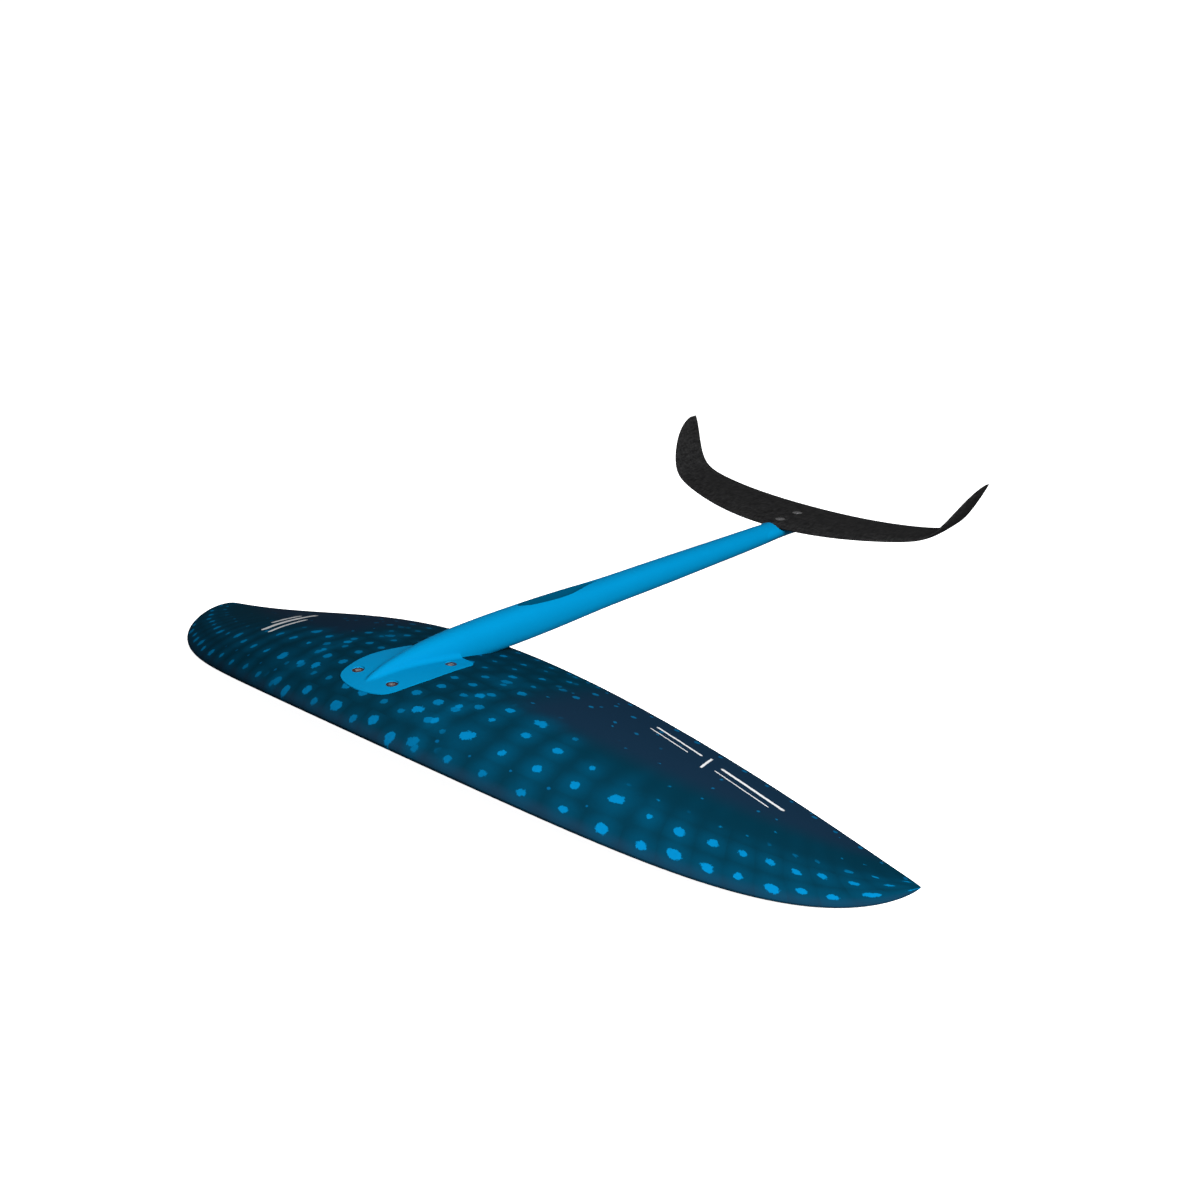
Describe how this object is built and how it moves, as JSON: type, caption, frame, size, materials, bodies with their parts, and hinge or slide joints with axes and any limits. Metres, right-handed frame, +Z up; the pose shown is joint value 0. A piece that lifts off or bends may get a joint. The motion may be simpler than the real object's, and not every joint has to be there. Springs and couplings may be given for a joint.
{
  "type": "hydrofoil wing set",
  "caption": "Hydrofoil wing set: wide drooped front wing, one-piece fuselage with a mast socket, and a small stabiliser with up-turned tips.",
  "frame": {"origin": "on the floor of the mast socket, midway between the two mast bolts", "axes": "+X forward, the way the foil flies; +Y to port along the wing's span; +Z up, out of the socket along the mast"},
  "size_m": [0.7603, 0.969, 0.1843],
  "materials": {
    "wing_paint": "dark blue lacquer over carbon laminate, with a graphic of lighter spots",
    "foam": "plain closed-cell foam, not seen",
    "dense_core": "plain, not seen",
    "stainless": "plain machined",
    "bronzed_screw": "dark red-brown coated screw with a worn grey drive",
    "fuselage_paint": "bright blue satin lacquer",
    "bare_carbon": "satin bare carbon",
    "shim": "matt red-brown"
  },
  "bodies": {
    "root": {"wing_upper_skin": "wing_paint", "wing_lower_skin": "wing_paint", "wing_centre_block": "dense_core", "wing_core_port": "foam", "wing_core_starboard": "foam", "wing_inserts_front": "stainless", "wing_inserts_rear": "stainless", "wing_screws_front": "bronzed_screw", "wing_screws_rear": "bronzed_screw", "fuselage": "fuselage_paint", "fuselage_boom_core": "foam", "mast_bolt_bushes": "stainless", "stabiliser_upper_skin": "bare_carbon", "stabiliser_lower_skin": "bare_carbon", "stabiliser_core": "dense_core", "stabiliser_shim": "shim", "stabiliser_inserts": "stainless", "stabiliser_screws": "stainless"}
  },
  "joints": []
}
